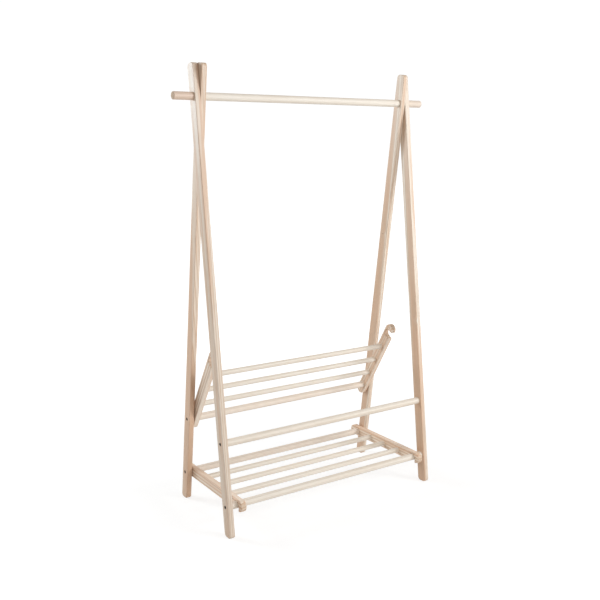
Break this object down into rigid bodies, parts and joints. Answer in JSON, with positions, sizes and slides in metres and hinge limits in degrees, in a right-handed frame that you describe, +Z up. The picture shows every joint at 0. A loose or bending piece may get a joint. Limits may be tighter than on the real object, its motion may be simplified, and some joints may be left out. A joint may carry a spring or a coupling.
{
  "type": "clothes rack",
  "caption": "Wooden clothes rack with crossed batten legs, a round hanging rail and slatted shelves that turn on rear bars and hook over front bars.",
  "frame": {"origin": "on the floor, in the middle of the four feet and under the middle of the hanging rail", "axes": "+Z up, +X along the hanging rail to the right seen from the front, front faces -Y"},
  "size_m": [1, 0.4118, 1.5],
  "materials": {
    "leg_wood": "untreated pine batten, planed, edges eased",
    "rail_wood": "untreated pine round bar, sanded",
    "bar_wood": "untreated pine round bar, sanded",
    "side_wood": "untreated pine batten, planed, edges eased",
    "dowel_wood": "untreated pine dowel, sanded",
    "bolt_metal": "black oxide, satin",
    "insert_metal": "plain turned"
  },
  "bodies": {
    "frame": {"front_leg_left": "leg_wood", "front_leg_right": "leg_wood", "back_leg_left": "leg_wood", "back_leg_right": "leg_wood", "hanging_rail": "rail_wood", "front_bar_upper": "bar_wood", "front_insert_upper_left": "insert_metal", "front_bolt_upper_left": "bolt_metal", "front_insert_upper_right": "insert_metal", "front_bolt_upper_right": "bolt_metal", "front_bar_lower": "bar_wood", "front_insert_lower_left": "insert_metal", "front_bolt_lower_left": "bolt_metal", "front_insert_lower_right": "insert_metal", "front_bolt_lower_right": "bolt_metal", "rear_bar_upper": "bar_wood", "rear_insert_upper_left": "insert_metal", "rear_bolt_upper_left": "bolt_metal", "rear_insert_upper_right": "insert_metal", "rear_bolt_upper_right": "bolt_metal", "rear_bar_lower": "bar_wood", "rear_insert_lower_left": "insert_metal", "rear_bolt_lower_left": "bolt_metal", "rear_insert_lower_right": "insert_metal", "rear_bolt_lower_right": "bolt_metal"},
    "upper_shelf": {"upper_shelf_side_left": "side_wood", "upper_shelf_side_right": "side_wood", "upper_shelf_dowel_1": "dowel_wood", "upper_shelf_dowel_2": "dowel_wood", "upper_shelf_dowel_3": "dowel_wood"},
    "lower_shelf": {"lower_shelf_side_left": "side_wood", "lower_shelf_side_right": "side_wood", "lower_shelf_dowel_1": "dowel_wood", "lower_shelf_dowel_2": "dowel_wood", "lower_shelf_dowel_3": "dowel_wood"}
  },
  "joints": [
    {"name": "upper_shelf_pivot", "type": "hinge", "parent": "frame", "child": "upper_shelf", "pos_m": [0, 0.14014, 0.31], "axis": [-1, 0, 0], "range_deg": [-59.4, 23.2]},
    {"name": "lower_shelf_pivot", "type": "hinge", "parent": "frame", "child": "lower_shelf", "pos_m": [0, 0.16689, 0.102], "axis": [-1, 0, 0], "range_deg": [0, 30]}
  ]
}
